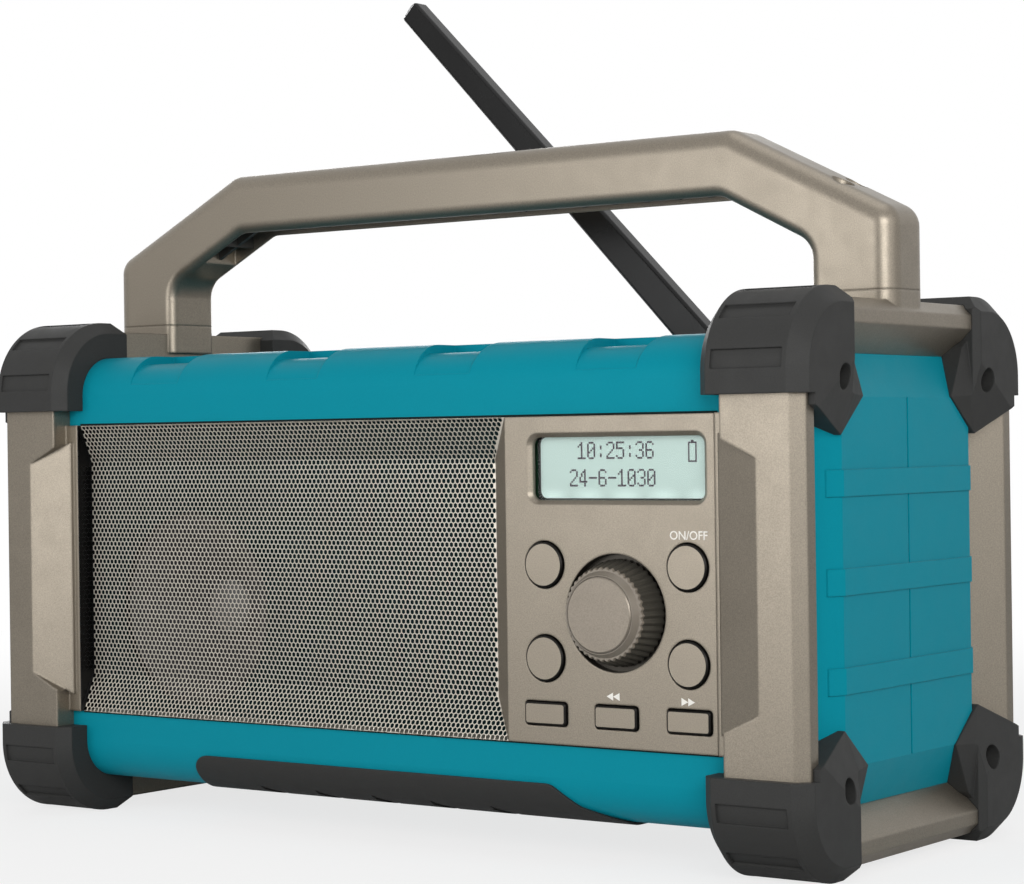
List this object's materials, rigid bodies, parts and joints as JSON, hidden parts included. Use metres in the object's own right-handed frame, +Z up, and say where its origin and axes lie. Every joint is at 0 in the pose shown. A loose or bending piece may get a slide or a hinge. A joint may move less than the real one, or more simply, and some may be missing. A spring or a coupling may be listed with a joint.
{
  "type": "jobsite radio",
  "caption": "Rugged portable radio: a rounded casing in a caged frame with rubber corner bumpers, carrying handle, tilting aerial, speaker grille, display, knob and keys.",
  "frame": {"origin": "on the surface it stands on, under the middle of the casing", "axes": "+Z up, -Y the front with the grille and the controls, +X the side of the controls"},
  "size_m": [0.3192, 0.1408, 0.2807],
  "materials": {
    "teal": "satin",
    "taupe": "metallic paint, satin",
    "rubber": "matte",
    "aerial_rubber": "satin",
    "dark_plastic": "matte",
    "grille": "satin",
    "key": "metallic paint, satin",
    "knob": "satin",
    "knob_disc": "brushed",
    "window": "clear",
    "display": "grey-green",
    "steel": "plain",
    "board": "solder mask",
    "cone": "paper",
    "dust_cap": "coated paper",
    "ferrite": "matte",
    "pack_wrap": "film"
  },
  "bodies": {
    "root": {"front_shell": "teal", "rear_shell": "teal", "left_end_cap": "teal", "right_end_cap": "teal", "front_left_post": "taupe", "front_right_post": "taupe", "rear_left_post": "taupe", "rear_right_post": "taupe", "top_left_bar": "taupe", "top_right_bar": "taupe", "bottom_left_bar": "taupe", "bottom_right_bar": "taupe", "handle_shell": "taupe", "control_panel": "taupe", "bumper_top_front_left": "rubber", "bumper_top_front_right": "rubber", "bumper_top_rear_left": "rubber", "bumper_top_rear_right": "rubber", "bumper_bottom_front_left": "rubber", "bumper_bottom_front_right": "rubber", "bumper_bottom_rear_left": "rubber", "bumper_bottom_rear_right": "rubber", "handle_rib_insert": "dark_plastic", "base_pad": "dark_plastic", "control_switches": "dark_plastic", "encoder_body": "dark_plastic", "aux_socket": "dark_plastic", "dc_socket": "dark_plastic", "speaker_grille": "grille", "display_window": "window", "display_module": "display", "bumper_screws": "steel", "handle_screws": "steel", "shell_screws": "steel", "speaker_screws": "steel", "speaker_basket": "steel", "antenna_bracket": "steel", "antenna_pin": "steel", "cover_hinge_pins": "steel", "control_board": "board", "main_board": "board", "speaker_cone": "cone", "speaker_surround": "cone", "speaker_dust_cap": "dust_cap", "speaker_magnet": "ferrite", "battery_pack": "pack_wrap"},
    "knob_plunger": {"encoder_plunger": "dark_plastic"},
    "knob": {"tuning_knob": "knob", "knob_cap": "knob_disc", "encoder_shaft": "steel"},
    "aerial": {"antenna_mast": "aerial_rubber"},
    "battery_door": {"battery_door": "teal"},
    "port_cover": {"port_cover": "rubber"},
    "mode_button": {"mode_button": "key"},
    "preset_button": {"preset_button": "key"},
    "power_button": {"power_button": "key"},
    "tone_button": {"tone_button": "key"},
    "menu_button": {"menu_button": "key"},
    "previous_button": {"previous_button": "key"},
    "next_button": {"next_button": "key"}
  },
  "joints": [
    {"name": "knob_press", "type": "slide", "parent": "root", "child": "knob_plunger", "axis": [0, 1, 0], "range_m": [0, 0.0005], "stiffness_N_per_m": 2000},
    {"name": "knob_turn", "type": "hinge", "parent": "knob_plunger", "child": "knob", "pos_m": [0.09205, -0.06, 0.0744], "axis": [0, 1, 0], "continuous": true},
    {"name": "aerial_tilt", "type": "hinge", "parent": "root", "child": "aerial", "pos_m": [0.0613, 0.045, 0.152], "axis": [0, 1, 0], "range_deg": [-45.6, 44.4]},
    {"name": "battery_door_hinge", "type": "hinge", "parent": "root", "child": "battery_door", "pos_m": [0, 0.058, 0.0967], "axis": [1, 0, 0], "range_deg": [0, 90]},
    {"name": "port_cover_hinge", "type": "hinge", "parent": "root", "child": "port_cover", "pos_m": [0.081, 0.058, 0.0637], "axis": [1, 0, 0], "range_deg": [0, 90]},
    {"name": "mode_button_press", "type": "slide", "parent": "root", "child": "mode_button", "axis": [0, 1, 0], "range_m": [0, 0.0008], "stiffness_N_per_m": 1500},
    {"name": "preset_button_press", "type": "slide", "parent": "root", "child": "preset_button", "axis": [0, 1, 0], "range_m": [0, 0.0008], "stiffness_N_per_m": 1500},
    {"name": "power_button_press", "type": "slide", "parent": "root", "child": "power_button", "axis": [0, 1, 0], "range_m": [0, 0.0008], "stiffness_N_per_m": 1500},
    {"name": "tone_button_press", "type": "slide", "parent": "root", "child": "tone_button", "axis": [0, 1, 0], "range_m": [0, 0.0008], "stiffness_N_per_m": 1500},
    {"name": "menu_button_press", "type": "slide", "parent": "root", "child": "menu_button", "axis": [0, 1, 0], "range_m": [0, 0.0008], "stiffness_N_per_m": 1500},
    {"name": "previous_button_press", "type": "slide", "parent": "root", "child": "previous_button", "axis": [0, 1, 0], "range_m": [0, 0.0008], "stiffness_N_per_m": 1500},
    {"name": "next_button_press", "type": "slide", "parent": "root", "child": "next_button", "axis": [0, 1, 0], "range_m": [0, 0.0008], "stiffness_N_per_m": 1500}
  ]
}
